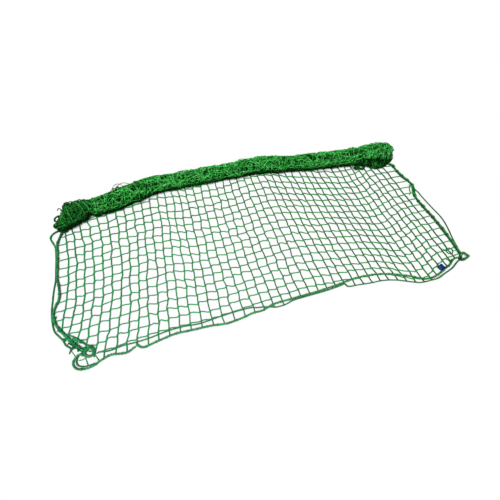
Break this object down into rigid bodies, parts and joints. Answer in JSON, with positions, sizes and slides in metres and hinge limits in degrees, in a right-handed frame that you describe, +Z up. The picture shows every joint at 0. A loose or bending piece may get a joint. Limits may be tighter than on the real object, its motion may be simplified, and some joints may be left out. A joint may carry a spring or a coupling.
{
  "type": "cover net",
  "caption": "Square-mesh cover net lying spread on the floor in front of its wound roll, edged with a laid rope, a thinner draw cord and corner rings.",
  "frame": {"origin": "middle of the whole net's length and depth, on the floor it rests on", "axes": "+X along the roll towards its bunched right end, +Y from the spread netting's front edge to the roll, +Z up"},
  "size_m": [2.1181, 0.9825, 0.0997],
  "materials": {
    "netting": "twisted polypropylene twine, slight sheen",
    "wound_netting": "twisted polypropylene twine in many layers",
    "laid_rope": "laid polypropylene rope, slight sheen",
    "braided_cord": "braided polypropylene cord, slight sheen",
    "woven_label": "plain woven label, bare"
  },
  "bodies": {
    "root": {"net_spread": "netting", "net_roll": "wound_netting", "edge_rope_left": "laid_rope", "edge_rope_front": "laid_rope", "edge_rope_corner": "laid_rope", "edge_rope_right": "laid_rope", "draw_cord_left": "braided_cord", "draw_cord_front": "braided_cord", "draw_cord_right": "braided_cord", "gathered_edge_left": "netting", "corner_ring_left": "laid_rope", "corner_eye_right": "laid_rope", "label": "woven_label"}
  },
  "joints": []
}
